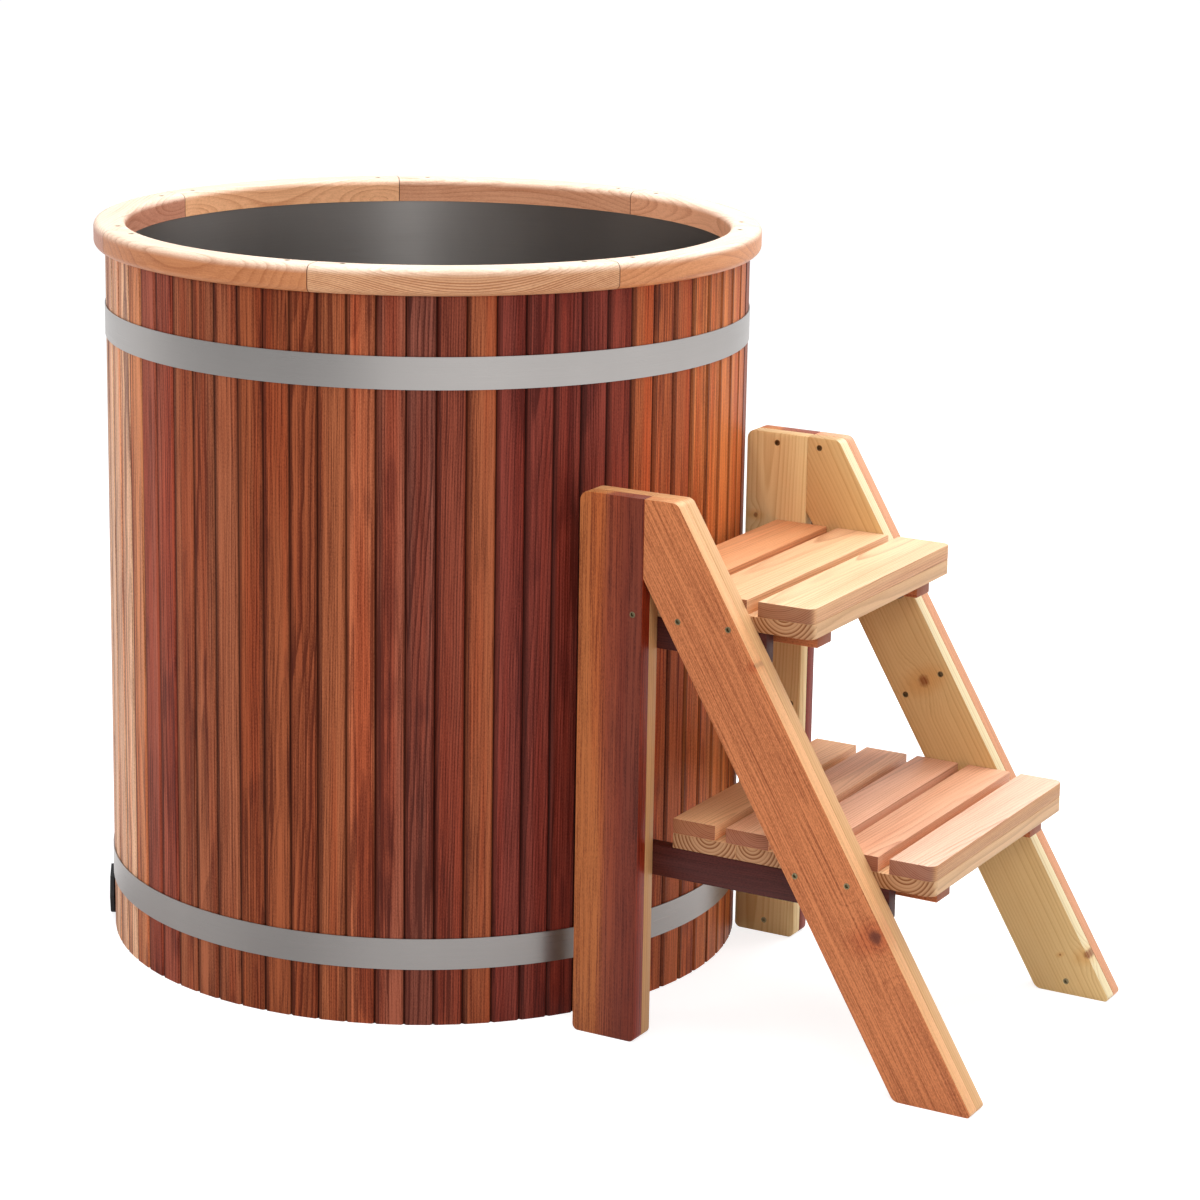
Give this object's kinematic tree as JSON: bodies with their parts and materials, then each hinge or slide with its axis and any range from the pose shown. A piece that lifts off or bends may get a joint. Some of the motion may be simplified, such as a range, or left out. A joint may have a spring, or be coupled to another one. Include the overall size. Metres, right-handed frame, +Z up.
{
  "type": "cold plunge tub",
  "caption": "Round cedar-stave cold plunge barrel with a steel liner, steel bands, a rounded timber rim and a floor drain, beside free-standing wooden steps.",
  "frame": {"origin": "on the barrel's axis at floor level, under the middle floor joist", "axes": "+Z up along the barrel's axis, +X from the barrel towards the steps"},
  "size_m": [1.4228, 0.91, 1],
  "materials": {
    "stave_cedar": "oiled, mixed tones, upright grain",
    "rim_cedar": "oiled, rounded edges",
    "pale_pine": "planed, with knots",
    "frame_cedar": "planed and oiled",
    "slat_cedar": "planed and oiled",
    "rail_cedar": "dark heartwood, planed",
    "cleat_cedar": "reddish heartwood, planed",
    "band_steel": "brushed stainless steel",
    "liner_steel": "satin stainless sheet",
    "fastener_steel": "stainless screws and bolts",
    "black_plastic": "moulded, satin",
    "black_rubber": "matt"
  },
  "bodies": {
    "tub": {"stave_set_1": "stave_cedar", "stave_set_2": "stave_cedar", "stave_set_3": "stave_cedar", "stave_set_4": "stave_cedar", "stave_set_5": "stave_cedar", "stave_set_6": "stave_cedar", "stave_set_7": "stave_cedar", "stave_set_8": "stave_cedar", "rim_segment_1": "rim_cedar", "rim_segment_2": "rim_cedar", "rim_segment_3": "rim_cedar", "rim_segment_4": "rim_cedar", "rim_segment_5": "rim_cedar", "rim_segment_6": "rim_cedar", "rim_segment_7": "rim_cedar", "rim_screws": "fastener_steel", "upper_band": "band_steel", "lower_band": "band_steel", "band_bolts": "fastener_steel", "band_nuts": "fastener_steel", "liner": "liner_steel", "floor_boards": "pale_pine", "floor_joists": "pale_pine", "drain_strainer": "liner_steel", "strainer_locknut": "black_plastic", "drain_pipe": "black_plastic", "drain_outlet": "black_plastic", "outlet_ring": "black_rubber", "outlet_locknut": "black_plastic"},
    "plug_seal": {"plug_seal": "black_rubber"},
    "drain_plug": {"drain_plug": "black_plastic"},
    "steps": {"left_post_outer": "frame_cedar", "left_post_inner": "pale_pine", "left_stringer_outer": "frame_cedar", "left_stringer_inner": "pale_pine", "right_post_outer": "frame_cedar", "right_post_inner": "pale_pine", "right_stringer_outer": "frame_cedar", "right_stringer_inner": "pale_pine", "upper_slat_1": "slat_cedar", "upper_slat_2": "slat_cedar", "upper_slat_3": "slat_cedar", "lower_slat_1": "slat_cedar", "lower_slat_2": "slat_cedar", "lower_slat_3": "slat_cedar", "lower_slat_4": "slat_cedar", "lower_slat_5": "slat_cedar", "upper_underlay": "pale_pine", "lower_underlay": "pale_pine", "left_upper_rail": "rail_cedar", "right_upper_rail": "rail_cedar", "left_lower_rail": "rail_cedar", "right_lower_rail": "rail_cedar", "upper_cleats": "cleat_cedar", "lower_cleats": "cleat_cedar", "frame_screws": "fastener_steel", "short_screws": "fastener_steel", "tread_screws": "fastener_steel"}
  },
  "joints": [
    {"name": "steps_away", "type": "slide", "parent": "tub", "child": "steps", "axis": [1, 0, 0], "range_m": [0, 0.4]},
    {"name": "plug_advance", "type": "slide", "parent": "tub", "child": "plug_seal", "axis": [-0.8329, -0.5534, 0], "range_m": [0, 0.0095]},
    {"name": "plug_turn", "type": "hinge", "parent": "plug_seal", "child": "drain_plug", "pos_m": [-0.36982, -0.24571, 0.039], "axis": [-0.8329, -0.5534, 0], "range_deg": [0, 1080]}
  ],
  "couplings": [
    {"joint": "plug_advance", "follows": "plug_turn", "m_per_rad": 0.00047746}
  ]
}
